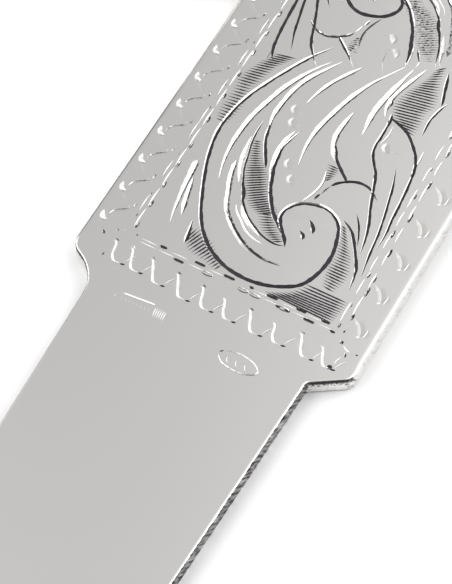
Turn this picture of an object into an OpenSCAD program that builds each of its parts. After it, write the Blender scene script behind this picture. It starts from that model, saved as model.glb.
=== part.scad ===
// Flat silver baby rattle: an engraved head and a plain tapering handle sawn from one sheet,
// with round bells hung on jump rings from wire loops soldered round the arched head.
// The long axis lies along X with the bells towards +X, and the back face rests on Z = 0.

/* [Plate] */
// Thickness of the silver sheet
plate_t = 1.6; // [1:0.1:2]
// Width of the engraved head
head_w = 24.3; // [20:1:30]
// Straight length of the head, from the shoulder to the arch
head_straight = 30; // [26:1:40]
// Distance of the left corner's centre from the shoulder
left_corner_x = 0.9; // [0:0.1:2]
// Radius of the head's left corner
left_corner_r = 1.5; // [1:0.1:2.4]
// Turn of the outline round the left corner, in degrees
left_turn = 60; // [50:1:75]
// Radius of the hollow under the left shoulder
left_hollow_r = 3.5; // [0.3:0.1:3.6]
// Distance of the right corner's centre from the shoulder
right_corner_x = 0.2; // [0:0.1:2]
// Radius of the head's right corner
right_corner_r = 1.3; // [1:0.1:2.4]
// Turn of the outline round the right corner, in degrees
right_turn = 57; // [50:1:75]
// Radius of the hollow under the right shoulder
right_hollow_r = 0.5; // [0.3:0.1:3.6]
// Length of the handle, from the shoulder to its round end
handle_len = 62; // [50:1:75]
// Radius of the handle's round end
handle_end_r = 7.5; // [6.5:0.1:7.8]
// Taper of each side of the handle, in degrees
handle_taper = 1.9; // [1:0.1:2]

/* [Loops and rings] */
// Mean radius of a soldered wire loop
loop_r = 1; // [0.9:0.05:1.1]
// Diameter of the loop wire
loop_wire = 0.7; // [0.6:0.05:0.8]
// Distance from the plate's edge to a loop's centre
loop_out = 0.95; // [0.85:0.05:1.1]
// Mean radius of a jump ring
ring_r = 2.6; // [2.4:0.1:3]
// Diameter of the jump ring wire
ring_wire = 0.8; // [0.6:0.05:0.9]
// Mean radius of the ribbon ring on the handle
ribbon_r = 7; // [6:0.5:9]
// Diameter of the ribbon ring wire
ribbon_wire = 0.9; // [0.7:0.05:1]

/* [Bells] */
// Number of bells round the arch
bell_count = 5; // [2:1:5]
// Outer radius of a bell
bell_r = 5.5; // [5:0.1:5.8]
// Wall of a bell
bell_wall = 0.5; // [0.4:0.05:0.7]
// Distance from a bell's centre to the centre of its loop
bell_reach = 6.35; // [6.3:0.05:6.6]
// Width of the sound slot
slot_w = 1; // [0.6:0.1:1.4]
// Diameter of the round hole at each end of the slot
slot_hole = 2.2; // [1.6:0.1:2.6]
// Angle from the slot's middle to each end, in degrees
slot_spread = 55; // [40:5:60]
// Width of the half-round seam band
band_w = 0.7; // [0.4:0.1:1]
// Diameter of the loose pellet
pellet_d = 3.2; // [2.8:0.1:4]

/* [Hidden] */
$fn = 64;
corner_steps = 8;
half_head = head_w / 2;
arch_x = head_straight;
loop_z = loop_r + loop_wire / 2;
loop_arm = half_head + loop_out;
bell_arm = loop_arm + 2 * ring_r;
bell_tilt = asin((bell_r - loop_z) / bell_reach);
pellet_orbit = bell_r - bell_wall - pellet_d / 2 - 0.05;
cut_size = 4 * bell_r;
handle_loop_x = -handle_len - loop_out;
ribbon_tilt = asin((loop_z - ribbon_wire / 2) / (2 * ribbon_r));

end_x = handle_end_r - handle_len;
// The round end is a hair fuller than the sides, so that the two cross and don't only touch
full_end_r = handle_end_r + 0.01;
half_handle = handle_end_r / cos(handle_taper) - end_x * tan(handle_taper);
side_normal = [-sin(handle_taper), cos(handle_taper)];

// The whole rattle is centred on the origin
x_high = arch_x + bell_arm + bell_reach * cos(bell_tilt) + bell_r;
x_low = handle_loop_x - 2 * ribbon_r * cos(ribbon_tilt) - ribbon_wire / 2;
x_middle = (x_high + x_low) / 2;

BELLS = [1 : bell_count];

// Direction of a bell round the arch: the first points to +Y and the last to -Y
function bell_angle(i) = 90 - 180 * (i - 1) / (bell_count - 1);

function arc(centre, r, from, to) = [
    for (k = [0 : corner_steps])
        let (a = from + (to - from) * k / corner_steps)
            centre + r * [cos(a), sin(a)]
];

function mirrored(points) = [
    for (k = [len(points) - 1 : -1 : 0]) [points[k][0], -points[k][1]]
];

// Centre of the hollow that touches the shoulder line and the handle's side line
function hollow_at(corner, corner_r, turn, r) =
    let (
        normal = [cos(90 + turn), sin(90 + turn)],
        a = normal * corner + corner_r + r,
        b = half_handle * cos(handle_taper) + r,
        det = normal[0] * side_normal[1] - normal[1] * side_normal[0]
    )
    [
        (a * side_normal[1] - b * normal[1]) / det,
        (b * normal[0] - a * side_normal[0]) / det
    ];

// One side of the plate, from the handle's end to the start of the arch
function flank(corner_x, corner_r, turn, hollow_r) =
    let (
        corner = [corner_x, half_head - corner_r],
        hollow = hollow_at(corner, corner_r, turn, hollow_r)
    )
    concat(
        [[end_x, 0] + handle_end_r * side_normal],
        arc(hollow, -hollow_r, 90 + handle_taper, 90 + turn),
        arc(corner, corner_r, 90 + turn, 90),
        [[arch_x, half_head]]
    );

// A closed ring of round wire, lying flat with its centre at the origin
module wire_ring(r, wire) {
    rotate_extrude($fn = 180) translate([r, 0]) circle(d = wire);
}

module centred() {
    translate([-x_middle, 0, 0]) children();
}

// The arm of bell i: local X points outwards from the arch's centre
module on_arm(i, x = 0, z = 0) {
    centred() translate([arch_x, 0, 0]) rotate([0, 0, bell_angle(i)])
        translate([x, 0, z]) children();
}

// A bell's own frame: its centre, with X from its loop towards its slot
module in_bell(i) {
    on_arm(i, bell_arm, loop_z) rotate([0, -bell_tilt, 0])
        translate([bell_reach, 0, 0]) children();
}

module plate() {
    left = flank(left_corner_x, left_corner_r, left_turn, left_hollow_r);
    right = flank(right_corner_x, right_corner_r, right_turn, right_hollow_r);
    color("silver") centred() union() {
        linear_extrude(height = plate_t) polygon(concat(left, mirrored(right)));
        translate([end_x, 0, 0]) cylinder(r = full_end_r, h = plate_t);
        translate([arch_x, 0, 0]) cylinder(r = half_head, h = plate_t);
    }
}

// Loops stand upright, and are filed to sit on the plate's edge
module head_loop(i) {
    color("silver") difference() {
        on_arm(i, loop_arm, loop_z) rotate([90, 0, 0]) wire_ring(loop_r, loop_wire);
        centred() translate([arch_x, 0, -1]) cylinder(r = half_head, h = plate_t + 1);
    }
}

module handle_loop() {
    color("silver") difference() {
        centred() translate([handle_loop_x, 0, loop_z]) rotate([90, 0, 0])
            wire_ring(loop_r, loop_wire);
        centred() translate([end_x, 0, -1]) cylinder(r = full_end_r, h = plate_t + 1);
    }
}

module ribbon_ring() {
    color("silver") centred() translate([handle_loop_x, 0, loop_z])
        rotate([0, -ribbon_tilt, 0]) translate([-ribbon_r, 0, 0])
            wire_ring(ribbon_r, ribbon_wire);
}

module jump_ring(i) {
    color("silver") on_arm(i, loop_arm + ring_r, loop_z) wire_ring(ring_r, ring_wire);
}

module bell_loop(i) {
    color("silver") in_bell(i) difference() {
        translate([-bell_reach, 0, 0]) rotate([90, 0, 0]) wire_ring(loop_r, loop_wire);
        sphere(r = bell_r);
    }
}

module bell_shell() {
    difference() {
        sphere(r = bell_r);
        sphere(r = bell_r - bell_wall);
    }
}

module bell_cap(i) {
    color("gainsboro") in_bell(i) difference() {
        bell_shell();
        translate([0, -cut_size / 2, -cut_size / 2]) cube(cut_size);
    }
}

module bell_bowl(i) {
    color("gainsboro") in_bell(i) difference() {
        rotate([0, 0, 180]) bell_shell();
        translate([-cut_size, -cut_size / 2, -cut_size / 2]) cube(cut_size);
        translate([bell_r * cos(slot_spread), -cut_size / 2, -slot_w / 2])
            cube([cut_size, cut_size, slot_w]);
        for (side = [-1, 1])
            rotate([0, 0, side * slot_spread]) rotate([0, 90, 0])
                cylinder(d = slot_hole, h = cut_size);
    }
}

// The band is half-round wire, bored to sit on the seam
module bell_band(i) {
    color("silver") in_bell(i) rotate([0, 90, 0]) difference() {
        wire_ring(bell_r, band_w);
        cylinder(r = bell_r, h = 2 * band_w, center = true, $fn = 180);
    }
}

// The pellet lies at the lowest point inside its bell
module bell_pellet(i) {
    color("dimgray") on_arm(i, bell_arm + bell_reach * cos(bell_tilt), bell_r - pellet_orbit)
        sphere(d = pellet_d);
}

plate();
handle_loop();
ribbon_ring();
for (i = BELLS) {
    head_loop(i);
    jump_ring(i);
    bell_loop(i);
    bell_cap(i);
    bell_bowl(i);
    bell_band(i);
    bell_pellet(i);
}
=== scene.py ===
"""Looks of the flat silver baby rattle: an engraved plate, wire loops and rings, and round bells."""

import math

import bpy
import numpy as np
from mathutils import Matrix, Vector
from mathutils.geometry import delaunay_2d_cdt


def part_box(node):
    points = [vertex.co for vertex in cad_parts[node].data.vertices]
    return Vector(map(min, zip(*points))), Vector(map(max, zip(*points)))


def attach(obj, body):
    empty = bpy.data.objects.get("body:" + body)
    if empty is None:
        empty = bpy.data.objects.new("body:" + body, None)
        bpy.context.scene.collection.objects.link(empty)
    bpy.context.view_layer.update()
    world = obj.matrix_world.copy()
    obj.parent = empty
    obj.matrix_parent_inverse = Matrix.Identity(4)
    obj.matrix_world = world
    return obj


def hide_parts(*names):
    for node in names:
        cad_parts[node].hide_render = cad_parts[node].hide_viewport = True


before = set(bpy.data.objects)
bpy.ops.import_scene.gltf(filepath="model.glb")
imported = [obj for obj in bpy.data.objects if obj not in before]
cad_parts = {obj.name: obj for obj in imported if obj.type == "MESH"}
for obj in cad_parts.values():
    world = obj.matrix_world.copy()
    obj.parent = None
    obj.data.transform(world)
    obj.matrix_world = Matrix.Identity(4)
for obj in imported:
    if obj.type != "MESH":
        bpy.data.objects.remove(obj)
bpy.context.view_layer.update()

# ---------------------------------------------------------------- sizes, in millimetres
MM = 0.001
HEAD_STRAIGHT = 30.0
HANDLE_LENGTH = 62.0
HANDLE_END_R = 7.5
HANDLE_TAPER = math.radians(1.9)
LEFT_SHOULDER = {"centre": 0.9, "r": 1.5, "turn": math.radians(60), "hollow": 3.5}
RIGHT_SHOULDER = {"centre": 0.2, "r": 1.3, "turn": math.radians(57), "hollow": 0.5}
# The face rolls off over this distance to the edge, faster and faster
ROLL_OFF = 0.45
ROLL_POWER = 3.7
ROLL_BENDS = np.radians([0, 2, 5, 10, 20, 35, 50, 65, 80, 90])
BACK_ROUNDING = 0.25
BACK_BENDS = np.radians([90, 65, 40, 18, 0])
# How wide both roundings are, as a share: on the handle, on the head and at the shoulders
HANDLE_ROLL = 0.6
HEAD_ROLL = 1.1
SHOULDER_ROLL = 0.35
# Within SHOULDER_REACH of the shoulders, the outline counts as shoulder by how much its normal
# faces the handle, times SHOULDER_GAIN and less SHOULDER_OFFSET
SHOULDER_REACH = 3
SHOULDER_GAIN = 2.5
SHOULDER_OFFSET = 0.9
# Darkness painted into the edge's colour, by the depth below the face: on the handle filed tarnish
# together with a painted dark reflection, grey all over, and at the shoulders one band of painted dark
# reflection under the rim
FILED_AND_PAINTED_REFLECTION_DEPTHS = [0.02, 0.08, 1.35, 1.5, 1.6]
FILED_TARNISH_AND_PAINTED_REFLECTION = [0, 0.86, 0.84, 0.6, 0.2]
PAINTED_REFLECTION_BAND_DEPTHS = [0.04, 0.12, 0.5, 0.75]
PAINTED_REFLECTION_BAND = [0, 1, 1, 0.04]
# The share of the handle's filed tarnish and painted dark reflection that the head's edge keeps
HEAD_FILED_AND_PAINTED_REFLECTION = 0.08

PLATE_LOW, PLATE_HIGH = (np.array(corner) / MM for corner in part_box("plate"))
HALF_HEAD = PLATE_HIGH[1]
THICKNESS = PLATE_HIGH[2] - PLATE_LOW[2]
ARCH_X = PLATE_HIGH[0] - HALF_HEAD
SHOULDER_X = ARCH_X - HEAD_STRAIGHT
END_X = SHOULDER_X - HANDLE_LENGTH + HANDLE_END_R


# ---------------------------------------------------------------- the plate's outline
def arc(centre, r, start, stop, step=0.15):
    """Points on a circle round centre, from angle start to angle stop, about step apart."""
    count = max(6, int(abs(r * (stop - start)) / step))
    a = np.linspace(start, stop, count)
    return np.stack([centre[0] + r * np.cos(a), centre[1] + r * np.sin(a)], axis=1)


def flank(shoulder):
    """The outline from the handle's end to the arch, on the +Y side: the handle's straight side,
    a hollow that touches it and the shoulder line, and the corner's arc up to the head's side."""
    r, turn, hollow = shoulder["r"], math.pi / 2 + shoulder["turn"], shoulder["hollow"]
    side = np.array([-math.sin(HANDLE_TAPER), math.cos(HANDLE_TAPER)])
    slope = np.array([math.cos(turn), math.sin(turn)])
    corner = np.array([SHOULDER_X + shoulder["centre"], HALF_HEAD - r])
    end = np.array([END_X, 0.0])
    reach = np.array([slope @ corner + r + hollow, side @ end + HANDLE_END_R + hollow])
    centre = np.linalg.solve(np.stack([slope, side]), reach)
    return np.concatenate(
        [
            arc(centre, -hollow, math.pi / 2 + HANDLE_TAPER, turn),
            arc(corner, r, turn, math.pi / 2),
        ]
    )


def spread(points, step):
    """A closed outline with extra points on its long straight stretches, at most step apart."""
    after = np.roll(points, -1, axis=0)
    counts = np.maximum(1, np.ceil(np.linalg.norm(after - points, axis=1) / step)).astype(int)
    starts = np.repeat(points, counts, axis=0)
    spans = np.repeat(after - points, counts, axis=0)
    first = np.repeat(np.cumsum(counts) - counts, counts)
    share = (np.arange(counts.sum()) - first) / np.repeat(counts, counts)
    return starts + spans * share[:, None]


def plate_outline():
    """The whole outline, clockwise from the handle's end, as points and outward normals."""
    left = flank(LEFT_SHOULDER)
    right = flank(RIGHT_SHOULDER)[::-1] * [1, -1]
    lean = math.pi / 2 + HANDLE_TAPER
    handle_end = arc((END_X, 0), HANDLE_END_R, 2 * math.pi - lean, lean)
    arch = arc((ARCH_X, 0), HALF_HEAD, math.pi / 2, -math.pi / 2)
    points = spread(np.concatenate([handle_end, left, arch, right]), 0.8)
    apart = np.linalg.norm(points - np.roll(points, 1, axis=0), axis=1)
    points = points[apart > 1e-4]
    along = np.roll(points, -1, axis=0) - np.roll(points, 1, axis=0)
    along /= np.linalg.norm(along, axis=1)[:, None]
    return points, np.stack([-along[:, 1], along[:, 0]], axis=1)


# ---------------------------------------------------------------- the engraver's cuts
# Engraving points are (across, along) in millimetres: across from the engraver's centre line
# towards the right edge, and along from the shoulder towards the arch.
CENTRE_LINE = 0.09
RIM_SOFTNESS = 1.5
PANEL_MIDDLE = 20.9
PANEL_TOP_R = 8.6
# The turned scroll shows only beyond two slanting lines, and fades in over SEAM_FADE
SEAM_START = 0.3
SEAM_FADE = 1.5


def smooth_path(points, step=0.3):
    """A Catmull-Rom curve through a few points, sampled about step apart."""
    p = np.array(points, dtype=float)
    p = np.concatenate([[2 * p[0] - p[1]], p, [2 * p[-1] - p[-2]]])
    lengths = np.linalg.norm(p[2:-1] - p[1:-2], axis=1)
    counts = np.maximum(2, np.ceil(lengths / step)).astype(int)
    span = np.repeat(np.arange(len(counts)), counts)
    t = (np.arange(counts.sum()) - np.repeat(np.cumsum(counts) - counts, counts))
    t = (t / np.repeat(counts, counts))[:, None]
    a, b, c, d = (p[span + k] for k in range(4))
    curve = 0.5 * (2 * b + (c - a) * t + (2 * a - 5 * b + 4 * c - d) * t**2
                   + (3 * b - a - 3 * c + d) * t**3)
    return np.concatenate([curve, p[-2:-1]])


def cut(points, wide=0.1, steep=0.1, depth=0.07, lead_in=1.0, lead_out=1.0, dark=(0, 0), step=0.3,
        uneven=0.0):
    """One stroke of the graver: a V groove along a smooth path. wide is the width of the wall on the
    right hand of the stroke and steep that of the wall on its left, and dark says how much tarnish
    each of the two holds. Both ends run out to nothing, and uneven is the share by which the
    stroke swells and thins along the way."""
    path = smooth_path(points, step)
    runs = np.concatenate([[0], np.cumsum(np.linalg.norm(np.diff(path, axis=0), axis=1))])
    swell = np.minimum(runs / lead_in, (runs[-1] - runs) / lead_out).clip(0.04, 1) ** 0.7
    start = 10 * path[0].sum()
    swell *= 1 + uneven * (np.sin(3.1 * runs + start) + np.sin(7.7 * runs + 2 * start)) / 2
    sunk = depth * swell
    sunk[[0, -1]] = 0
    return {"path": path, "wide": wide * swell, "steep": steep * swell, "depth": sunk, "dark": dark}


def outline_cut(points, width=0.26, **more):
    """A deep outline, black with tarnish, with a thin bright wall on its outer side."""
    return cut(points, 0.34 * width, 0.76 * width, depth=0.11, dark=(0, 1), uneven=0.18, **more)


def bright_cut(points, width=0.4, dark=0.9, **more):
    """A bright cut: one wide gently sloped facet, and a steep dark wall."""
    return cut(points, 0.85 * width, 0.18, depth=0.085, dark=(0, dark), uneven=0.12, **more)


def fine_cut(points, width=0.12, **more):
    """A thin dark line with a bright wall."""
    return cut(points, 0.6 * width, 0.5 * width, depth=0.05, dark=(0, 1), **more)


def soft_cut(points, wide=0.2, steep=0.12, depth=0.028, **more):
    """A shallow polished dent, bright on one side and grey on the other."""
    return cut(points, wide, steep, depth, step=0.15, **more)


def spot(x, y, dx, dy, width=0.2, dark=1):
    """A short dark lozenge where the graver dug in, from its middle and half its length."""
    return cut([(x - dx, y - dy), (x + dx, y + dy)], 0.5 * width, 0.5 * width, depth=0.08,
               lead_in=0.12, lead_out=0.12, dark=(0.6 * dark, dark), step=0.1)


def hatch(starts, ends, count):
    """Shading: count thin straight lines from one smooth curve to another."""
    sides = []
    for side in (starts, ends):
        curve = smooth_path(side, 0.2)
        runs = np.concatenate([[0], np.cumsum(np.linalg.norm(np.diff(curve, axis=0), axis=1))])
        marks = np.linspace(0, runs[-1], count)
        sides.append(np.stack([np.interp(marks, runs, curve[:, k]) for k in (0, 1)], axis=1))
    return [
        cut([p, q], wide=0.085, steep=0.065, depth=0.05, lead_in=0.08, lead_out=0.08,
            dark=(0.8, 1), step=0.8)
        for p, q in zip(*sides)
    ]


def scroll_cuts():
    """The leaf scroll on the lower half of the panel, stroke by stroke."""
    outlines = [
        outline_cut([(-3.3, 25.9), (-4.5, 24.2), (-5.3, 22.7), (-6.3, 20.5), (-7.1, 18.4), (-7.5, 16.5),
                     (-7.6, 14.5), (-7.3, 12.7), (-6.8, 11.0), (-6.0, 9.0), (-5.0, 6.9), (-4.0, 5.5),
                     (-2.8, 4.4), (-1.2, 3.6), (0.6, 3.3), (2.4, 3.5), (4.1, 4.25), (5.0, 5.1),
                     (5.5, 6.4), (5.7, 8.0), (5.4, 9.7), (4.8, 11.1), (3.9, 11.8), (2.9, 12.0),
                     (1.8, 11.7), (1.0, 11.2), (0.5, 10.4), (0.45, 9.6), (0.8, 8.9), (1.5, 8.1), (2.1, 7.3)],
                    0.3, lead_in=3, lead_out=0.6),
        outline_cut([(-1.85, 17.4), (-2.15, 16.4), (-2.4, 15.4), (-2.36, 14.6), (-2.25, 13.8), (-2.0, 12.9),
                     (-1.7, 12.1), (-1.3, 11.2), (-0.8, 10.4), (-0.3, 9.7), (0.2, 9.2), (0.7, 8.8),
                     (1.2, 8.3)], 0.32, lead_in=3.5, lead_out=0.6),
        outline_cut([(-4.35, 17.8), (-4.15, 16.2), (-3.9, 15.3), (-3.5, 14.5), (-3.1, 13.8), (-2.6, 13.0)],
                    0.26, lead_in=2, lead_out=0.4),
        outline_cut([(-4.85, 16.9), (-4.85, 15.8), (-4.7, 14.6), (-4.4, 13.5), (-4.1, 12.3), (-3.7, 11.4),
                     (-3.4, 10.75), (-3.0, 10.1), (-2.75, 9.55), (-2.3, 9.0), (-1.8, 8.5), (-1.2, 8.05),
                     (-0.5, 7.65), (0.0, 7.4), (0.7, 7.2), (1.4, 7.15), (2.1, 7.35)], 0.15),
        outline_cut([(-3.75, 11.5), (-3.4, 10.75), (-3.0, 10.1), (-2.75, 9.5), (-2.4, 9.1)], 0.28),
        outline_cut([(-3.9, 9.2), (-3.4, 8.2), (-2.9, 7.7), (-2.2, 7.1), (-1.4, 6.5), (-0.5, 6.0),
                     (0.5, 5.65), (1.5, 5.5), (2.6, 5.6)], 0.17, lead_in=2, lead_out=1.5),
        outline_cut([(-5.2, 6.2), (-5.0, 5.2), (-4.75, 4.0)], 0.3, lead_in=1.5, lead_out=0.1),
        outline_cut([(3.6, 22.2), (3.75, 21.5), (3.8, 20.0), (3.8, 19.0), (4.0, 18.1), (4.5, 17.3),
                     (5.0, 16.6), (5.4, 15.6), (5.7, 14.7), (6.1, 13.6), (6.6, 12.4), (7.0, 11.2),
                     (7.4, 9.5)], 0.24, lead_in=0.3, lead_out=2),
        outline_cut([(3.7, 21.8), (4.4, 21.6), (5.5, 21.1), (6.3, 20.3), (7.1, 19.3), (7.5, 18.2),
                     (7.7, 17.0), (7.9, 15.2), (8.05, 13.4), (8.25, 12.0), (8.3, 10.4)], 0.24,
                    lead_in=0.3, lead_out=3),
        outline_cut([(6.2, 17.8), (6.7, 16.3), (7.1, 14.7), (7.5, 13.0), (7.8, 11.4), (8.0, 9.8),
                     (8.4, 7.7)], 0.2, lead_in=2, lead_out=2),
        outline_cut([(4.9, 11.6), (5.8, 11.0), (6.5, 10.1), (7.2, 9.0), (7.8, 7.9), (8.15, 6.2)], 0.24,
                    lead_in=1.2, lead_out=2),
        outline_cut([(5.5, 12.6), (6.1, 11.7), (6.5, 10.9), (6.9, 10.0)], 0.16),
        outline_cut([(0.85, 17.9), (1.3, 17.1), (1.8, 16.3), (2.4, 15.7), (3.0, 15.2), (3.6, 14.7)], 0.24,
                    lead_out=0.5),
        outline_cut([(2.6, 13.9), (3.0, 14.4), (3.5, 14.8), (4.1, 15.1), (4.8, 15.2), (5.5, 15.0),
                     (6.3, 14.4)], 0.22, lead_in=0.3, lead_out=1.5),
        outline_cut([(2.05, 12.2), (2.25, 12.9)], 0.2, lead_in=0.2, lead_out=0.2),
        outline_cut([(2.6, 10.35), (3.0, 10.0), (3.4, 9.35)], 0.3, lead_in=0.4, lead_out=0.3),
        outline_cut([(2.4, 9.15), (2.75, 8.9), (2.95, 8.45)], 0.34, lead_in=0.6, lead_out=0.2),
        outline_cut([(3.0, 23.6), (3.1, 23.0), (3.15, 22.7)], 0.22, lead_in=0.4, lead_out=0.2),
        outline_cut([(5.7, 28.0), (6.0, 26.8), (6.3, 25.8), (6.65, 24.7)], 0.26, lead_out=0.6),
        outline_cut([(7.1, 25.3), (6.75, 24.6), (6.55, 23.8), (6.45, 23.0), (6.5, 22.2), (6.6, 21.4)],
                    0.2, lead_out=1.2),
    ]
    brights = [
        bright_cut([(-2.0, 25.0), (-2.9, 23.5), (-3.7, 22.0), (-4.15, 20.5), (-4.35, 18.8),
                    (-4.35, 17.5), (-4.1, 16.2)], 0.3, lead_in=3, lead_out=2),
        bright_cut([(-2.7, 24.6), (-3.5, 23.4), (-4.2, 22.1), (-4.9, 20.4), (-5.4, 18.6), (-5.8, 16.8),
                    (-5.93, 15.0), (-5.9, 13.4), (-5.65, 11.8), (-5.25, 10.3)], 0.34,
                   lead_in=4, lead_out=5),
        bright_cut([(-4.95, 15.2), (-4.85, 14.4), (-4.65, 13.4), (-4.35, 12.3), (-4.0, 11.4), (-3.75, 10.8)],
                   0.3, dark=0.2, lead_in=2, lead_out=1.5),
        bright_cut([(-2.6, 9.15), (-2.1, 8.5), (-1.4, 7.97), (-0.7, 7.55), (0.0, 7.2)], 0.26, dark=0.2),
        soft_cut([(-3.0, 9.0), (-2.6, 8.4), (-1.9, 7.8), (-1.2, 7.2), (-0.4, 6.85), (0.5, 6.7)], 0.1, 0.06),
        bright_cut([(-2.2, 17.2), (-2.42, 16.2), (-2.52, 15.3), (-2.45, 14.4), (-2.3, 13.4), (-2.05, 12.6)],
                   0.24, dark=0.2, lead_out=2),
        bright_cut([(-7.5, 11.2), (-7.35, 10.0), (-7.2, 8.6), (-7.0, 7.2), (-6.8, 6.0), (-6.55, 5.0)],
                   0.42, lead_in=0.3, lead_out=5),
        bright_cut([(-7.05, 9.6), (-6.8, 8.6), (-6.5, 7.4), (-6.15, 6.1)], 0.28, lead_out=0.8),
        bright_cut([(-4.9, 12.6), (-4.6, 11.2), (-4.1, 9.9), (-3.5, 8.5), (-2.8, 7.6), (-1.9, 6.8),
                    (-0.9, 6.15), (0.2, 5.75), (1.4, 5.55), (2.5, 5.7)], 0.3, lead_in=0.6, lead_out=3),
        bright_cut([(1.6, 25.2), (0.9, 24.0), (0.4, 22.8), (0.0, 21.6), (-0.35, 20.2), (-0.65, 18.8),
                    (-0.8, 17.4), (-0.75, 16.0), (-0.5, 14.4)], 0.32, lead_in=3, lead_out=4),
        bright_cut([(-0.4, 25.2), (-1.2, 23.9), (-1.9, 22.6), (-2.4, 21.2), (-2.7, 19.9)], 0.2,
                   lead_out=2),
        bright_cut([(3.2, 27.0), (2.9, 25.2), (2.6, 23.5), (2.42, 22.0), (2.42, 21.0), (2.48, 20.2),
                    (2.5, 19.3)], 0.42, dark=0.2, lead_in=3, lead_out=2),
        bright_cut([(4.1, 27.4), (3.7, 26.2), (3.3, 25.0), (3.05, 24.0), (2.95, 23.2), (3.05, 22.4),
                    (3.3, 21.7)], 0.22, dark=0.3, lead_in=1.5),
        bright_cut([(0.95, 21.0), (0.85, 19.8), (0.8, 18.6), (1.0, 17.6), (1.5, 16.6), (1.9, 16.1)],
                   0.34, lead_in=1.5, lead_out=1),
    ]
    fines = [
        fine_cut([(1.6, 15.1), (1.85, 14.3), (1.9, 13.5), (1.7, 12.6), (1.3, 11.6)], 0.16),
        fine_cut([(7.4, 20.3), (7.5, 19.2), (7.45, 18.2)], 0.14),
        fine_cut([(2.3, 12.9), (2.4, 13.4), (2.6, 13.9)], 0.2),
        soft_cut([(4.25, 21.2), (4.3, 20.2), (4.1, 19.2)], 0.06, 0.12),
        fine_cut([(2.6, 27.0), (1.6, 25.3), (1.0, 24.3), (0.5, 23.2), (0.1, 22.0), (-0.1, 21.4)], 0.18,
                 lead_in=3),
    ]
    pecks = [
        line
        for x, y in [(-3.3, 18.9), (-2.9, 17.7), (-1.35, 14.1), (-0.5, 12.9), (4.6, 19.0)]
        for line in (
            soft_cut([(x - 0.02, y + 0.6), (x - 0.05, y + 0.1), (x + 0.2, y - 0.15), (x + 0.6, y - 0.1)],
                     0.24, 0.45, 0.035, lead_in=0.35, lead_out=0.4),
            soft_cut([(x + 0.5, y - 0.1), (x + 0.8, y), (x + 1.2, y + 0.12)], 0.06, 0.24),
        )
    ]
    shading = [
        *hatch([(-4.9, 4.7), (-4.3, 3.6), (-3.0, 3.3), (-1.6, 2.95)],
               [(-4.8, 5.5), (-4.0, 5.6), (-2.8, 5.0), (-1.3, 3.6)], 15),
        *hatch([(2.7, 3.1), (3.7, 3.6), (4.5, 4.2), (5.1, 5.1)],
               [(8.4, 3.0), (8.5, 3.7), (8.6, 4.4), (8.6, 5.1)], 10),
        *hatch([(5.0, 11.1), (5.5, 9.8), (5.8, 8.2), (5.8, 6.9), (6.2, 5.6)],
               [(5.5, 10.9), (6.4, 9.6), (7.2, 8.4), (7.6, 6.9), (7.3, 5.5)], 23),
        *hatch([(-4.65, 14.8), (-4.3, 13.4), (-4.0, 12.3), (-3.5, 11.1), (-2.8, 10.0), (-2.1, 9.3),
                (-1.2, 8.9)],
               [(-4.05, 15.0), (-3.3, 13.8), (-2.2, 12.7), (-1.6, 11.7), (-1.0, 10.9), (-0.3, 10.3),
                (0.2, 9.9)], 31),
        *hatch([(-1.1, 9.0), (-0.7, 8.3), (-0.1, 7.7), (1.0, 7.25)],
               [(0.2, 9.5), (0.7, 8.8), (1.1, 8.3), (1.8, 7.7)], 12),
        *hatch([(-8.2, 15.3), (-8.5, 16.4), (-8.4, 18.2), (-8.6, 19.6), (-7.9, 21.6), (-7.2, 23.0)],
               [(-7.2, 15.4), (-6.9, 16.9), (-7.1, 18.8), (-6.8, 20.2), (-6.3, 22.0), (-5.4, 23.4)], 28),
        *hatch([(4.8, 21.4), (3.8, 22.0), (3.3, 22.8), (3.4, 23.9), (3.7, 24.9), (4.3, 26.2), (4.7, 27.6)],
               [(6.1, 21.2), (6.1, 22.4), (6.0, 23.5), (6.3, 24.3), (6.1, 25.4), (5.6, 26.9), (5.4, 28.3)],
               26),
        *hatch([(1.45, 15.6), (1.65, 14.9), (1.8, 14.1)], [(2.5, 15.6), (2.5, 15.1), (2.35, 14.5)], 7),
    ]
    return outlines + brights + fines + pecks + shading


def turned_half(cuts):
    """The same scroll turned half round the panel's middle, kept to the panel's far corner and
    fading in where it meets the first."""
    kept = []
    for c in cuts:
        path = [0, 2 * PANEL_MIDDLE] - c["path"]
        past_left_line = 0.89 * (path[:, 1] - 25.6) - 0.46 * path[:, 0]
        past_right_line = 0.45 * (path[:, 1] - 27) + 0.89 * (path[:, 0] - 6.4)
        beyond = np.maximum(past_left_line, past_right_line)
        from_arch = np.hypot(path[:, 0], np.maximum(path[:, 1] - HEAD_STRAIGHT, 0))
        inside = (beyond > SEAM_START) & (from_arch < PANEL_TOP_R)
        if inside.sum() > 1:
            fade = np.minimum(1, beyond[inside] / SEAM_FADE)
            part = {key: c[key][inside] * fade for key in ("wide", "steep", "depth")}
            kept.append({"path": path[inside], "dark": c["dark"], **part})
    return kept


# How far the border runs up a side of the head, to just short of the top of the arch
ARCH_RUN = HEAD_STRAIGHT + HALF_HEAD * math.pi / 2 - 1


def border_point(side, run, inset):
    """A point of the border: run millimetres up the head's side from the shoulder and on round the
    arch, and inset from the edge. side is -1 on the left and 1 on the right."""
    run, inset = np.broadcast_arrays(np.asarray(run, float), np.asarray(inset, float))
    turn = np.maximum(run - HEAD_STRAIGHT, 0) / HALF_HEAD
    r = HALF_HEAD - inset
    across = side * r * np.cos(turn)
    along = np.minimum(run, HEAD_STRAIGHT) + r * np.sin(turn)
    return np.stack([across, along], axis=-1)


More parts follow.
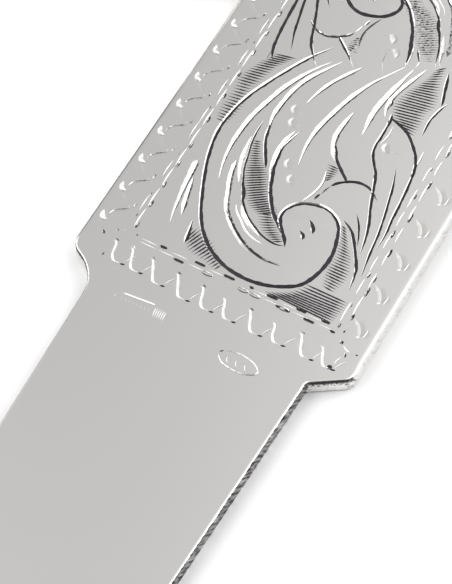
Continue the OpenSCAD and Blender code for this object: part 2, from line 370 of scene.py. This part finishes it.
def left_border():
    """Swings and two dashed lines up the head's left side and round to the top of the arch."""
    cuts = []
    for run in np.arange(3.0, ARCH_RUN, 2.98):
        hook = border_point(-1, run + np.array([0.75, 0.3, 0.05, 0.0, 0.1]),
                            np.array([0.6, 0.64, 0.78, 0.98, 1.2]))
        swing = border_point(-1, run + np.array([0.45, 1.05, 1.4, 1.75]),
                             np.array([1.05, 1.3, 1.75, 2.3]))
        back = border_point(-1, run + np.array([3.0, 2.5, 2.0]), np.array([0.9, 1.4, 2.1]))
        x, y = border_point(-1, run + 2.2, 2.45)
        glint_x, glint_y = border_point(-1, run + 1.85, 2.1)
        cuts += [
            soft_cut(hook, 0.17, 0.2, 0.04, lead_in=0.4, lead_out=0.3),
            soft_cut(swing, 0.05, 0.04, 0.03, dark=(0.45, 0.5), lead_in=0.5, lead_out=0.3),
            soft_cut(swing - [0, 0.08], 0.1, 0.2, 0.012),
            soft_cut(back, 0.3, 0.3, 0.012),
            soft_cut([(glint_x - 0.1, glint_y + 0.15), (glint_x + 0.1, glint_y - 0.1)], 0.16, 0.1, 0.02),
            spot(x, y, 0.04, 0.25, 0.13, 0.8),
        ]
    inner = [3.7, 5.9, 7.9, 10.1, 12.1, 14.9, 17.5, 19.9, *np.arange(22.3, ARCH_RUN, 2.2)]
    outer = [4.5, 6.7, 8.7, 11.0, 13.0, 16.0, 18.5, *np.arange(20.9, ARCH_RUN, 2.3)]
    for run in inner:
        cuts += border_dash(-1, run, 3.5, 0.35, 0.21)
    for run in outer:
        cuts += border_dash(-1, run, 3.03, 0.15, 0.13)
    cuts += [
        soft_cut(border_point(-1, np.arange(run + 2.0, run - 0.1, -0.4), 3.35), 0.1, 0.04, 0.03)
        for run in np.arange(3.4, ARCH_RUN, 2.15)
    ]
    cuts += [
        soft_cut(border_point(-1, np.arange(run + 1.9, run, -0.3), 2.98), 0.13, 0.05, 0.025)
        for run in (4.8, 8.4, 12.6, 14.2, 17.2, 20.5, 24.0, 28.0)
    ]
    return cuts


def right_border():
    """Swings and two dashed lines up the head's right side and round to the top of the arch."""
    cuts = []
    for run in np.arange(4.1, ARCH_RUN, 3.38):
        swing = border_point(1, run + np.array([0.1, -0.2, -0.75, -1.2]),
                             np.array([2.5, 1.9, 1.52, 1.42]))
        shade = border_point(1, run + np.array([-0.3, -0.7, -1.2]), np.array([1.1, 1.08, 1.15]))
        x, y = border_point(1, run - 1.3, 1.5)
        cuts += [
            soft_cut(swing, 0.3, 0.4, 0.016, lead_in=0.6, lead_out=0.3),
            soft_cut(shade, 0.05, 0.3, 0.012, lead_in=0.4, lead_out=0.3),
            soft_cut([(x, y + 0.15), (x, y - 0.1)], 0.2, 0.12, 0.03, lead_in=0.1, lead_out=0.1),
        ]
    inner = [(3.1, 0.3), (5.05, 0.2), (8.1, 0.3), (12.25, 0.4), (16.1, 0.3), (19.0, 0.25),
             *((run, 0.3) for run in np.arange(22.5, ARCH_RUN, 3.2))]
    outer = [(2.8, 0.15), (4.2, 0.33), (6.7, 0.5), (7.95, 0.35), (10.6, 0.42), (14.2, 0.5), (17.6, 0.45),
             *((run, 0.4) for run in np.arange(20.9, ARCH_RUN, 3.2))]
    for run, half_length in inner:
        cuts += border_dash(1, run, 3.12 + 0.4 * min(1, run / 20), half_length, 0.19)
    for run, half_length in outer:
        cuts += border_dash(1, run, 2.55 + 0.45 * min(1, run / 20), half_length, 0.21)
    for run in np.arange(3.4, ARCH_RUN, 2.3):
        span = np.arange(run + 2.0, run, -0.4)
        lean = np.minimum(1, span / 20)
        cuts += [
            soft_cut(border_point(1, span, 3.24 + 0.4 * lean), 0.09, 0.05, 0.03),
            soft_cut(border_point(1, span + 0.9, 2.66 + 0.45 * lean), 0.11, 0.06, 0.03),
        ]
    return cuts


def border_dash(side, run, inset, half_length, width):
    """A dark lozenge of a dashed line."""
    ends = border_point(side, run + np.array([half_length, -half_length]), inset)
    return [cut(ends, 0.5 * width, 0.5 * width, depth=0.09, lead_in=0.2, lead_out=0.2,
                dark=(0.75, 1), step=0.15)]


def foot_border():
    """The border along the foot of the head: wriggled teeth and two dashed lines."""
    cuts = []
    # Each tooth: the top and the bottom of its stroke, and how dark the graver's turn at the top is
    teeth = [
        ((-9.3, 1.8), (-8.6, 0.0), 0.7),
        ((-7.85, 1.8), (-7.0, -0.05), 0.5),
        ((-6.0, 1.65), (-5.0, -0.25), 0.8),
        ((-3.7, 1.4), (-2.7, -0.5), 1),
        ((-1.5, 1.3), (-0.7, -0.5), 1),
        ((0.4, 1.2), (1.2, -0.5), 0),
        ((2.6, 1.2), (3.5, -0.6), 1),
        ((4.7, 1.1), (5.4, -0.55), 0),
        ((6.9, 1.25), (7.8, -0.62), 0.8),
        ((8.8, 1.0), (9.6, -0.62), 0),
    ]
    for (x, y), (low_x, low_y), turn in teeth:
        stroke = [(x - 0.3, y - 0.12), (x - 0.05, y - 0.15), (x + 0.15, y - 0.45),
                  (low_x - 0.4, low_y + 0.55), (low_x - 0.15, low_y + 0.1), (low_x + 0.1, low_y),
                  (low_x + 0.5, low_y + 0.03)]
        back = [(low_x + 0.75, low_y + 0.2), (low_x + 0.95, low_y + 0.65), (low_x + 1.35, low_y + 1.25)]
        cuts += [
            soft_cut(stroke, 0.1, 0.1, 0.02, lead_in=0.35, lead_out=0.3),
            soft_cut(stroke[2:5], 0.5, 0.3, 0.012),
            soft_cut(back, 0.14, 0.05, 0.018, dark=(0.2, 0)),
            spot(low_x + 0.72, low_y + 0.05, 0.2, 0.05, 0.16),
        ]
        if turn:
            cuts.append(spot(x, y + 0.03, 0.17, -0.06, 0.11, turn))
    upper = [(-8.2, 0.08), (-5.9, 0.33), (-2.75, 0.47), (-0.25, 0.5), (1.65, 0.22), (3.4, 0.5), (5.85, 0.46),
             (7.9, 0.4)]
    lower = [(-4.3, 0.45), (4.15, 0.22), (4.95, 0.25), (6.75, 0.5), (8.75, 0.25)]
    cuts += [spot(x, 2.88, half, 0, 0.25) for x, half in upper]
    cuts += [spot(x, 2.35, half, 0, 0.25) for x, half in lower]
    for x in (1.15, 2.15, 4.6, -1.9):
        box = [(x - 0.42, 2.3), (x, 2.22), (x + 0.42, 2.3), (x + 0.42, 2.46), (x, 2.52), (x - 0.42, 2.45)]
        cuts.append(cut(box, wide=0.04, steep=0.05, depth=0.03, lead_in=0.2, lead_out=0.2,
                        dark=(0.3, 1), step=0.15))
    bright_dashes = [
        (2.78, (-7.8, -5.2, -2.0, 1.9, 4.2, 6.4)),
        (2.47, (-7.8, -6.2, -3.6, 2.7, 5.2, 7.3)),
    ]
    cuts += [
        soft_cut([(x + 1.5, along), (x, along)], 0.05, 0.08, 0.02)
        for along, starts in bright_dashes
        for x in starts
    ]
    cuts += [
        spot(9.8, 1.87, 0.12, -0.12, 0.32),
        spot(10.52, 1.0, 0.08, -0.2, 0.2),
        spot(11.28, 1.4, 0.1, 0.04, 0.18),
        spot(10.0, -0.47, 0.22, 0.05, 0.4),
        spot(-10.6, 1.95, 0.16, -0.14, 0.2),
        spot(-9.62, 0.2, 0.03, 0.15, 0.12),
        spot(-9.7, 2.6, 0.12, 0.08, 0.16, 0.7),
        spot(-9.25, 2.85, 0.08, 0.02, 0.1, 0.7),
        soft_cut([(10.0, 1.7), (10.6, 1.38), (11.2, 1.45)], 0.12, 0.12),
        soft_cut([(10.4, 0.8), (10.2, 0.2), (10.2, -0.1)], 0.14, 0.12),
        soft_cut([(-11.4, 3.5), (-11.35, 3.3), (-11.1, 3.3)], 0.2, 0.14),
    ]
    return cuts


def punch_marks():
    """Two small worn punch marks on the handle: a hatched bar, and an oval round three bent strokes."""
    bar = [(-6.7, -2.15), (-5.2, -2.02), (-3.9, -1.9)]
    oval = [(2.25, -3.4), (2.8, -3.9), (3.8, -4.1), (4.9, -4.0), (5.6, -3.5), (5.0, -2.9), (3.9, -2.65),
            (2.9, -2.75), (2.3, -3.1)]
    cuts = [cut(bar, 0.03, 0.08, 0.04, 0.3, 0.3), cut(oval, 0.06, 0.05, 0.025, dark=(0.15, 0.2)),
            soft_cut([(-6.95, -2.3), (-7.0, -2.8)], 0.1, 0.06, 0.02), spot(2.35, -3.05, 0.12, 0.12, 0.12)]
    cuts += [soft_cut([(x, -2.0 - 0.05 * (x + 3.3) ** 2), (x + 0.12, -2.95)], 0.11, 0.06, 0.02)
             for x in np.arange(-3.75, -2.8, 0.17)]
    cuts += [soft_cut([(x, -2.4), (x + 0.12, -2.75)], 0.08, 0.08, 0.012) for x in np.arange(-6.5, -4.0, 0.33)]
    cuts += [soft_cut([(x + 0.15, -3.2), (x - 0.1, -3.3), (x, -3.65), (x + 0.2, -3.7)], 0.07, 0.07, 0.015)
             for x in (3.1, 3.85, 4.6)]
    return cuts


def all_cuts():
    """Every cut in the face of the plate, in the row frame's millimetres."""
    scroll = scroll_cuts()
    cuts = (scroll + turned_half(scroll) + left_border() + right_border()
            + foot_border() + punch_marks())
    for c in cuts:
        c["path"] = np.stack([c["path"][:, 1] + SHOULDER_X, -c["path"][:, 0] - CENTRE_LINE], axis=1)
    return cuts


def wall_ends(c):
    """The two rims and the bottom of a cut, as three lists of points."""
    path = c["path"]
    along = np.gradient(path, axis=0)
    along /= np.linalg.norm(along, axis=1)[:, None] + 1e-9
    to_left = np.stack([-along[:, 1], along[:, 0]], axis=1)
    return path + to_left * c["steep"][:, None], path - to_left * c["wide"][:, None], path


def carve(points, cuts):
    """How deep the cuts go at each point, and how dark with tarnish it is there. Across each cut
    the depth falls in a straight line from its bottom to each rim, and the deepest cut counts."""
    depth = np.zeros(len(points))
    dark = np.zeros(len(points))
    for c in cuts:
        path, reach = c["path"], max(c["wide"].max(), c["steep"].max())
        near = np.all((points > path.min(axis=0) - reach) & (points < path.max(axis=0) + reach), axis=1)
        index = np.flatnonzero(near)
        if not len(index):
            continue
        start, span = path[:-1], np.diff(path, axis=0)
        offset = points[index][:, None] - start
        t = ((offset * span).sum(axis=2) / (span**2).sum(axis=1).clip(1e-12)).clip(0, 1)
        away = offset - t[..., None] * span
        distance = np.linalg.norm(away, axis=2)
        nearest = distance.argmin(axis=1)
        rows = np.arange(len(index))
        t, distance = t[rows, nearest], distance[rows, nearest]
        on_left = span[nearest, 0] * away[rows, nearest, 1] > span[nearest, 1] * away[rows, nearest, 0]
        wide, steep, deep = ((1 - t) * c[k][nearest] + t * c[k][nearest + 1]
                             for k in ("wide", "steep", "depth"))
        here = deep * (1 - distance / np.where(on_left, steep, wide))
        deeper = here > depth[index]
        depth[index[deeper]] = here[deeper]
        dark[index[deeper]] = np.where(on_left, c["dark"][1], c["dark"][0])[deeper]
    return depth, dark


def inside_outline(points, outline):
    """Which points lie inside a closed outline: those with an odd number of edges to their right."""
    x, y = points[:, 0, None], points[:, 1, None]
    x0, y0 = outline.T
    x1, y1 = np.roll(outline, -1, axis=0).T
    spans = (y0 > y) != (y1 > y)
    rise = np.where(y1 == y0, 1, y1 - y0)
    return ((spans & (x < x0 + (y - y0) * (x1 - x0) / rise)).sum(axis=1) % 2) == 1


# ---------------------------------------------------------------- meshes
def make_piece(name, points, faces, material, body):
    """A finished piece from points in millimetres and faces, riding on a body."""
    mesh = bpy.data.meshes.new(name)
    mesh.from_pydata((np.asarray(points) * MM).tolist(), [], [list(map(int, f)) for f in faces])
    mesh.polygons.foreach_set("use_smooth", np.full(len(mesh.polygons), True))
    mesh.materials.append(material)
    piece = bpy.data.objects.new(name, mesh)
    bpy.context.collection.objects.link(piece)
    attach(piece, body)
    return piece


def facing_normals(triangles, top):
    """Corner normals for the face: straight up on the flat, and on the wall of a cut bent from
    nearly flat at the rim to the wall's own slope at the bottom, so that each cut looks hollow."""
    corners = top[triangles]
    slopes = np.cross(corners[:, 1] - corners[:, 0], corners[:, 2] - corners[:, 0])
    slopes /= np.linalg.norm(slopes, axis=1)[:, None].clip(1e-12)
    on_wall = corners[..., 2].min(axis=1) < THICKNESS - 1e-4
    at_rim = corners[..., 2] > THICKNESS - 1e-4
    normals = np.repeat(slopes[:, None], 3, axis=1)
    normals[at_rim] += [0, 0, RIM_SOFTNESS]
    normals[~on_wall] = [0, 0, 1]
    return normals / np.linalg.norm(normals, axis=2)[..., None]


def edge_profile():
    """The edge from face to back: how far in from the outline each ring lies, its height, and the
    tilt of its normal from straight up. The face's roll-off steepens as a power of the distance."""
    inset = ROLL_OFF * (1 - (ROLL_BENDS / ROLL_BENDS[-1]) ** (1 / ROLL_POWER))
    middle = 0.5 * (ROLL_BENDS[1:] + ROLL_BENDS[:-1])
    fall = np.concatenate([[0], np.cumsum(-np.diff(inset) * np.tan(middle))])
    wall = np.linspace(THICKNESS - fall[-1], BACK_ROUNDING, 5)[1:-1]
    inset = np.concatenate([inset, np.zeros(len(wall)), BACK_ROUNDING * (1 - np.sin(BACK_BENDS))])
    height = np.concatenate([THICKNESS - fall, wall, BACK_ROUNDING * (1 - np.cos(BACK_BENDS))])
    tilt = np.concatenate([ROLL_BENDS, np.full(len(wall), math.pi / 2), math.pi - BACK_BENDS])
    return inset, height, tilt


def shoulder_share(points, normals):
    """How squarely the outline faces the handle, from 0 to 1, and 0 away from the shoulders."""
    near = np.abs(points[:, 0] - SHOULDER_X) < SHOULDER_REACH
    return (near * (-SHOULDER_GAIN * normals[:, 0] - SHOULDER_OFFSET)).clip(0, 1)


def engraved_face(face_edge, cuts):
    """The face as a flat sheet, split along every rim and bottom of the cuts and sunk by their
    depth: its points, its triangles, and how dark each triangle is."""
    count = len(face_edge)
    coords, edges = [face_edge], [np.stack([np.arange(count), np.roll(np.arange(count), -1)], axis=1)]
    total = count
    for c in cuts:
        for line in wall_ends(c):
            coords.append(line)
            run = np.arange(total, total + len(line) - 1)
            edges.append(np.stack([run, run + 1], axis=1))
            total += len(line)
    flat = [Vector(p) for p in np.concatenate(coords)]
    found = delaunay_2d_cdt(flat, np.concatenate(edges).tolist(), [], 0, 1e-4, False)
    face = np.array([v[:] for v in found[0]])
    triangles = np.array([f for f in found[2] if len(f) == 3])
    triangles = triangles[inside_outline(face[triangles].mean(axis=1), face_edge)]
    depth, _ = carve(face, cuts)
    _, dark = carve(face[triangles].mean(axis=1), cuts)
    return np.column_stack([face, THICKNESS - depth]), triangles, dark


def edge_rings(points, normals, inset, height, tilt):
    """The edge's profile carried round the outline, one ring for each height: the points, the quads
    between the rings, and a normal for each point. inset has a row for each ring."""
    count, ring_count = len(points), len(height)
    rings = points - inset[..., None] * normals
    wall = np.concatenate([rings, np.broadcast_to(height[:, None, None], (ring_count, count, 1))], axis=2)
    i, j = np.meshgrid(np.arange(ring_count - 1), np.arange(count), indexing="ij")
    k = (j + 1) % count
    quads = np.stack([i * count + j, i * count + k, (i + 1) * count + k, (i + 1) * count + j], axis=-1)
    sideways = np.sin(tilt)[:, None, None] * normals
    upwards = np.broadcast_to(np.cos(tilt)[:, None, None], (ring_count, count, 1))
    wall_normals = np.concatenate([sideways, upwards], axis=2)
    return wall.reshape(-1, 3), quads.reshape(-1, 4), wall_normals.reshape(-1, 3)


def edge_tarnish_and_painted_reflection(points, share, height):
    """How dark each point of the edge's rings is, painted into its colour: filed tarnish with a painted dark
    reflection, grey on the handle, nearly clean on the head, and one band of painted dark reflection at the
    shoulders, by their share."""
    filed_and_painted_reflection = np.interp(THICKNESS - height, FILED_AND_PAINTED_REFLECTION_DEPTHS, FILED_TARNISH_AND_PAINTED_REFLECTION)
    shoulder_painted_reflection = np.interp(THICKNESS - height, PAINTED_REFLECTION_BAND_DEPTHS, PAINTED_REFLECTION_BAND)
    handle = np.interp(points[:, 0], SHOULDER_X + np.array([-0.6, 0]), [1, HEAD_FILED_AND_PAINTED_REFLECTION])
    return (filed_and_painted_reflection[:, None] * handle * (1 - share) + shoulder_painted_reflection[:, None] * share).ravel()


def engraved_plate(material):
    """The plate: the engraved face, the edge as a profile carried round the outline with rims that
    are narrower on the handle and at the shoulders, and a flat back."""
    points, normals = plate_outline()
    inset, height, tilt = edge_profile()
    share = shoulder_share(points, normals)
    roll = np.interp(points[:, 0], SHOULDER_X + np.array([-1, 1]), [HANDLE_ROLL, HEAD_ROLL])
    inset = inset[:, None] * (roll * (1 - share) + SHOULDER_ROLL * share)
    top, triangles, dark = engraved_face(points - inset[0][:, None] * normals, all_cuts())
    wall, quads, wall_normals = edge_rings(points, normals, inset, height, tilt)
    # The edge's colour: filed tarnish with a painted dark reflection on the handle, and a band of painted
    # dark reflection at the shoulders
    wall_tarnish_and_painted_reflection = edge_tarnish_and_painted_reflection(points, share, height)
    count = len(points)
    back = np.arange(count)[::-1] + len(top) + (len(height) - 1) * count

    faces = [*triangles.tolist(), *(quads + len(top)).tolist(), back.tolist()]
    plate = make_piece("engraved_plate", np.concatenate([top, wall]), faces, material, "plate")
    corner_normals = np.concatenate([facing_normals(triangles, top).reshape(-1, 3),
                                     wall_normals[quads].reshape(-1, 3), np.tile([0, 0, -1], (count, 1))])
    plate.data.normals_split_custom_set(corner_normals.tolist())
    # The "tarnish" attribute holds the tarnish in the cuts, and on the edge tarnish together with a painted
    # dark reflection
    tarnish = plate.data.attributes.new("tarnish", "FLOAT", "CORNER")
    corner_tarnish_and_painted_reflection = np.concatenate([np.repeat(dark, 3), wall_tarnish_and_painted_reflection[quads].ravel(), np.zeros(count)])
    tarnish.data.foreach_set("value", corner_tarnish_and_painted_reflection)
    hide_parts("plate")


# ---------------------------------------------------------------- materials
# Colours of clean and tarnished metal, where the plate's tarnish colour also paints the dark reflection on
# its edge, and what full tarnish does to the roughness
PLATE_CLEAN = (0.88, 0.87, 0.85, 1)
PLATE_TARNISH_AND_PAINTED_REFLECTION = (0.042, 0.038, 0.044, 1)
PLATE_ROUGHNESS = (0.2, 0.55)
WIRE_CLEAN = (0.87, 0.86, 0.84, 1)
WIRE_TARNISH = (0.06, 0.05, 0.045, 1)
WIRE_TARNISH_ROUGHNESS = 0.5
# File marks: their slant, and how wide and how long they are, in metres
FILE_MARK_SLANT = math.radians(-40)
FILE_MARK_SIZE = (0.0002, 0.0002, 0.0014)


def new_material(name):
    """An empty node material with its Principled shader and its node tree."""
    material = bpy.data.materials.new(name)
    material.use_nodes = True
    return material, material.node_tree, material.node_tree.nodes["Principled BSDF"]


def plate_silver():
    """Polished silver, with tarnish in the cuts, and on the edge tarnish with a painted dark reflection,
    broken up by file marks. Where the darkening is partial, noise stretched from face to back breaks it up;
    where it is full or missing, the noise does nothing. The noise lies aslant, as file marks do."""
    material, tree, shader = new_material("plate_silver")
    nodes, links = tree.nodes, tree.links
    tarnish_and_painted_reflection = nodes.new("ShaderNodeAttribute")
    tarnish_and_painted_reflection.attribute_name = "tarnish"
    where = nodes.new("ShaderNodeTexCoord")
    stretch = nodes.new("ShaderNodeMapping")
    stretch.vector_type = "TEXTURE"
    stretch.inputs["Rotation"].default_value = (0, FILE_MARK_SLANT, 0)
    stretch.inputs["Scale"].default_value = FILE_MARK_SIZE
    streaks = nodes.new("ShaderNodeTexNoise")
    streaks.inputs["Scale"].default_value = 1
    streaks.inputs["Detail"].default_value = 3
    swing = nodes.new("ShaderNodeMapRange")
    swing.inputs["From Min"].default_value = 0.3
    swing.inputs["From Max"].default_value = 0.7
    swing.inputs["To Min"].default_value = -4
    swing.inputs["To Max"].default_value = 3
    partial = nodes.new("ShaderNodeMath")
    partial.operation = "MULTIPLY_ADD"
    partial.inputs[1].default_value = -1
    partial.inputs[2].default_value = 1
    spread_out = nodes.new("ShaderNodeMath")
    spread_out.operation = "MULTIPLY"
    tarnish = nodes.new("ShaderNodeMath")
    tarnish.operation = "MULTIPLY_ADD"
    tarnish.use_clamp = True
    colour = nodes.new("ShaderNodeMix")
    colour.data_type = "RGBA"
    colour.inputs[6].default_value = PLATE_CLEAN
    # The dark colour: tarnish in the cuts, and tarnish together with a painted dark reflection on the edge
    colour.inputs[7].default_value = PLATE_TARNISH_AND_PAINTED_REFLECTION
    rough = nodes.new("ShaderNodeMapRange")
    rough.inputs["To Min"].default_value = PLATE_ROUGHNESS[0]
    rough.inputs["To Max"].default_value = PLATE_ROUGHNESS[1]
    links.new(where.outputs["Object"], stretch.inputs["Vector"])
    links.new(stretch.outputs["Vector"], streaks.inputs["Vector"])
    links.new(streaks.outputs["Fac"], swing.inputs["Value"])
    links.new(tarnish_and_painted_reflection.outputs["Fac"], partial.inputs[0])
    links.new(partial.outputs[0], spread_out.inputs[0])
    links.new(swing.outputs["Result"], spread_out.inputs[1])
    links.new(tarnish_and_painted_reflection.outputs["Fac"], tarnish.inputs[0])
    links.new(spread_out.outputs[0], tarnish.inputs[1])
    links.new(tarnish_and_painted_reflection.outputs["Fac"], tarnish.inputs[2])
    links.new(tarnish.outputs[0], colour.inputs[0])
    links.new(tarnish.outputs[0], rough.inputs["Value"])
    links.new(colour.outputs[2], shader.inputs["Base Color"])
    links.new(rough.outputs["Result"], shader.inputs["Roughness"])
    shader.inputs["Metallic"].default_value = 1
    return material


def plain_metal(name, colour, roughness):
    """A polished metal with one colour."""
    material, _, shader = new_material(name)
    shader.inputs["Base Color"].default_value = (*colour, 1)
    shader.inputs["Metallic"].default_value = 1
    shader.inputs["Roughness"].default_value = roughness
    return material


def crevice_tarnish():
    """A group that puts out how dark with tarnish the metal is. It goes by how much of the nearby
    metal, within Reach in metres, closes the point in, broken up by noise."""
    group = bpy.data.node_groups.new("crevice_tarnish", "ShaderNodeTree")
    group.interface.new_socket("Reach", in_out="INPUT", socket_type="NodeSocketFloat")
    group.interface.new_socket("Tarnish", in_out="OUTPUT", socket_type="NodeSocketFloat")
    nodes, links = group.nodes, group.links
    given = nodes.new("NodeGroupInput")
    result = nodes.new("NodeGroupOutput")
    closed = nodes.new("ShaderNodeAmbientOcclusion")
    closed.samples = 8
    where = nodes.new("ShaderNodeTexCoord")
    patches = nodes.new("ShaderNodeTexNoise")
    patches.inputs["Scale"].default_value = 900
    patches.inputs["Detail"].default_value = 4
    shift = nodes.new("ShaderNodeMath")
    shift.operation = "MULTIPLY_ADD"
    shift.inputs[1].default_value = 0.35
    level = nodes.new("ShaderNodeMapRange")
    level.inputs["From Min"].default_value = 0.5
    level.inputs["From Max"].default_value = 1
    level.inputs["To Min"].default_value = 0.85
    level.inputs["To Max"].default_value = 0
    links.new(given.outputs["Reach"], closed.inputs["Distance"])
    links.new(where.outputs["Object"], patches.inputs["Vector"])
    links.new(patches.outputs["Fac"], shift.inputs[0])
    links.new(closed.outputs["AO"], shift.inputs[2])
    links.new(shift.outputs[0], level.inputs["Value"])
    links.new(level.outputs["Result"], result.inputs["Tarnish"])
    return group


def worn_silver(name, roughness, reach, crevices):
    """Polished silver that keeps some tarnish in its crevices, as the group crevices finds them
    within reach, in metres."""
    material, tree, shader = new_material(name)
    nodes, links = tree.nodes, tree.links
    tarnish = nodes.new("ShaderNodeGroup")
    tarnish.node_tree = crevices
    tarnish.inputs["Reach"].default_value = reach
    colour = nodes.new("ShaderNodeMix")
    colour.data_type = "RGBA"
    colour.inputs[6].default_value = WIRE_CLEAN
    colour.inputs[7].default_value = WIRE_TARNISH
    rough = nodes.new("ShaderNodeMapRange")
    rough.inputs["To Min"].default_value = roughness
    rough.inputs["To Max"].default_value = WIRE_TARNISH_ROUGHNESS
    links.new(tarnish.outputs["Tarnish"], colour.inputs[0])
    links.new(tarnish.outputs["Tarnish"], rough.inputs["Value"])
    links.new(colour.outputs[2], shader.inputs["Base Color"])
    links.new(rough.outputs["Result"], shader.inputs["Roughness"])
    shader.inputs["Metallic"].default_value = 1
    return material


def floor_material():
    """A matt white table."""
    material, _, shader = new_material("white_table")
    shader.inputs["Base Color"].default_value = (0.96, 0.96, 0.96, 1)
    shader.inputs["Roughness"].default_value = 0.9
    return material


# ---------------------------------------------------------------- the scene
def repaint(node, material):
    """Gives a CAD node a material."""
    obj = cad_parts[node]
    obj.data.materials.clear()
    obj.data.materials.append(material)


def direction(azimuth, elevation):
    """A unit vector at an azimuth from +X and an elevation above the table, in degrees."""
    a, e = math.radians(azimuth), math.radians(elevation)
    return Vector((math.cos(a) * math.cos(e), math.sin(a) * math.cos(e), math.sin(e)))


def studio_world():
    """A soft room: an even grey, with bright and dim patches that fade out smoothly, all of it
    darker towards the horizon."""
    world = bpy.data.worlds.new("soft_room")
    world.use_nodes = True
    bpy.context.scene.world = world
    tree = world.node_tree
    nodes, links = tree.nodes, tree.links
    background = nodes["Background"]
    where = nodes.new("ShaderNodeTexCoord")
    base = nodes.new("ShaderNodeValue")
    base.outputs[0].default_value = ROOM_LEVEL
    total = base.outputs[0]
    for azimuth, elevation, tight, level in ROOM_PATCHES:
        dot = nodes.new("ShaderNodeVectorMath")
        dot.operation = "DOT_PRODUCT"
        dot.inputs[1].default_value = direction(azimuth, elevation)
        links.new(where.outputs["Generated"], dot.inputs[0])
        near = nodes.new("ShaderNodeMapRange")
        near.interpolation_type = "SMOOTHSTEP"
        near.inputs["From Min"].default_value = math.cos(math.radians(tight))
        near.inputs["From Max"].default_value = 1
        near.inputs["To Max"].default_value = level
        links.new(dot.outputs["Value"], near.inputs["Value"])
        add = nodes.new("ShaderNodeMath")
        add.operation = "ADD"
        links.new(total, add.inputs[0])
        links.new(near.outputs["Result"], add.inputs[1])
        total = add.outputs[0]
    floor_cut = nodes.new("ShaderNodeMath")
    floor_cut.operation = "MAXIMUM"
    floor_cut.inputs[1].default_value = ROOM_DARKEST
    links.new(total, floor_cut.inputs[0])
    height = nodes.new("ShaderNodeSeparateXYZ")
    links.new(where.outputs["Generated"], height.inputs[0])
    lower = nodes.new("ShaderNodeMapRange")
    lower.interpolation_type = "SMOOTHSTEP"
    lower.inputs["From Min"].default_value = HORIZON_HEIGHTS[0]
    lower.inputs["From Max"].default_value = HORIZON_HEIGHTS[1]
    lower.inputs["To Min"].default_value = HORIZON_LEVEL
    links.new(height.outputs["Z"], lower.inputs["Value"])
    dimmed = nodes.new("ShaderNodeMath")
    dimmed.operation = "MULTIPLY"
    links.new(floor_cut.outputs[0], dimmed.inputs[0])
    links.new(lower.outputs["Result"], dimmed.inputs[1])
    links.new(dimmed.outputs[0], background.inputs["Strength"])
    background.inputs["Color"].default_value = (1, 1, 1, 1)


ROOM_LEVEL = 0.505
ROOM_DARKEST = 0.02
# The room dims to this share at the horizon, between two heights on the unit sphere
HORIZON_LEVEL = 0.15
HORIZON_HEIGHTS = (0.1, 0.7)
# Each patch: azimuth from +X and elevation, in degrees, how wide it is, and what it adds
ROOM_PATCHES = [
    (-50, 39, 54, 2.2),
    (112, 40, 48, 2.7),
    (56, 11, 40, -0.44),
    (-151, 48, 46, -0.38),
]

bpy.context.scene.view_settings.view_transform = "Standard"
TABLE_SIZE = 1.5
bpy.ops.mesh.primitive_plane_add(size=TABLE_SIZE)
table_top = bpy.context.object
table_top.name = "table"
table_top.data.materials.append(floor_material())

crevices = crevice_tarnish()
wire = worn_silver("wire_silver", 0.16, 0.0012, crevices)
bell = worn_silver("bell_silver", 0.14, 0.0016, crevices)
steel = plain_metal("pellet_steel", (0.42, 0.42, 0.43), 0.3)
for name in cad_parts:
    if name.startswith(("bell_cap", "bell_bowl", "bell_band")):
        repaint(name, bell)
    elif name.startswith("bell_pellet"):
        repaint(name, steel)
    elif name != "plate":
        repaint(name, wire)

engraved_plate(plate_silver())
studio_world()

# The camera looks at a point of the face just past the shoulder, through a long lens
CAMERA_DISTANCE = 220.3
LENS = 181.4
LOOK_AT = Vector((SHOULDER_X + 1.63, -0.16 - CENTRE_LINE, THICKNESS)) * MM
BACK = direction(-151.3, 57.6)
camera = bpy.data.objects.new("camera", bpy.data.cameras.new("camera"))
bpy.context.collection.objects.link(camera)
camera.data.lens = LENS
camera.data.clip_start = 0.01
camera.location = LOOK_AT + BACK * CAMERA_DISTANCE * MM
camera.rotation_euler = BACK.to_track_quat("Z", "Y").to_euler()
bpy.context.scene.camera = camera
